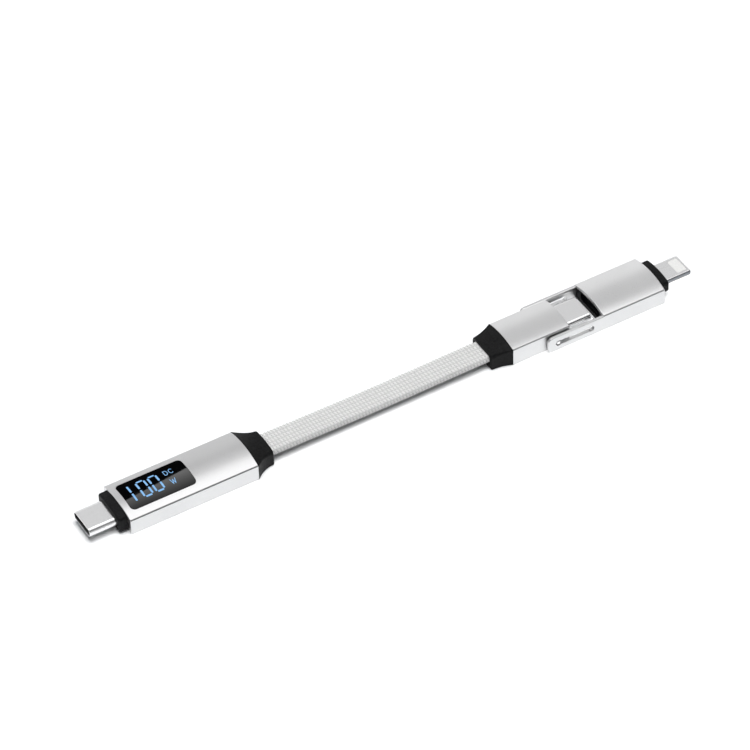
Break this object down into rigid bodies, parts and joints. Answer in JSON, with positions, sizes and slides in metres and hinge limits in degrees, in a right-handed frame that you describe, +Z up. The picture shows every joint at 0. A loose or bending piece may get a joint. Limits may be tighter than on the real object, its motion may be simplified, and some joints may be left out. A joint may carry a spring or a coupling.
{
  "type": "usb power meter cable",
  "caption": "Short flat braided charging cable with a power display in one head and a sliding flip-over adapter on the other.",
  "frame": {"origin": "on the surface the cable lies on, under the middle of the overall length, halfway across the width", "axes": "+X from the meter head's plug to the adapter's eight-pin plug, +Y to the left of that direction, +Z up through the arched tops"},
  "size_m": [0.1688, 0.0136, 0.0058],
  "materials": {
    "aluminium": "fine satin anodised",
    "steel": "satin plated",
    "gold_contacts": "gold plated",
    "black_plastic": "fine matte",
    "display_glass": "polished black",
    "braid": "woven nylon",
    "ivory_plastic": "smooth",
    "circuit_board": "solder mask",
    "chip_plastic": "moulded"
  },
  "bodies": {
    "cable_assembly": {"meter_shell": "aluminium", "display_lens": "display_glass", "display_module": "chip_plastic", "meter_collar": "black_plastic", "meter_plug_shell": "steel", "meter_plug_insulator": "black_plastic", "meter_plug_contacts_upper": "gold_contacts", "meter_plug_contacts_lower": "gold_contacts", "meter_board": "circuit_board", "meter_tray": "black_plastic", "meter_controller": "chip_plastic", "current_sense_resistor": "steel", "power_switch": "chip_plastic", "meter_capacitor_1": "ivory_plastic", "meter_capacitor_2": "ivory_plastic", "meter_capacitor_3": "ivory_plastic", "meter_boot": "black_plastic", "braided_cable": "braid", "head_shell": "aluminium", "head_boot": "black_plastic", "head_front_plate": "black_plastic", "head_plug_shell": "steel", "head_plug_insulator": "black_plastic", "head_plug_contacts_upper": "gold_contacts", "head_plug_contacts_lower": "gold_contacts", "head_board": "circuit_board", "cable_marker_chip": "chip_plastic", "head_core": "black_plastic"},
    "pivot": {"pivot_rod": "steel"},
    "adapter": {"adapter_shell": "aluminium", "adapter_collar": "black_plastic", "adapter_bezel": "black_plastic", "receptacle_shell": "steel", "receptacle_tongue": "black_plastic", "receptacle_contacts_upper": "gold_contacts", "receptacle_contacts_lower": "gold_contacts", "adapter_board": "circuit_board", "authentication_chip": "chip_plastic", "eight_pin_frame": "steel", "contact_pad": "ivory_plastic", "contact_strip_1": "gold_contacts", "contact_strip_2": "gold_contacts", "contact_strip_3": "gold_contacts", "contact_strip_4": "gold_contacts", "contact_strip_5": "gold_contacts", "contact_strip_6": "gold_contacts", "contact_strip_7": "gold_contacts", "contact_strip_8": "gold_contacts"}
  },
  "joints": [
    {"name": "adapter_swing", "type": "hinge", "parent": "cable_assembly", "child": "pivot", "pos_m": [0.04337, 0, 0.0021], "axis": [0, -1, 0], "range_deg": [0, 90]},
    {"name": "adapter_slide", "type": "slide", "parent": "pivot", "child": "adapter", "axis": [1, 0, 0], "range_m": [-0.009, 0]}
  ]
}
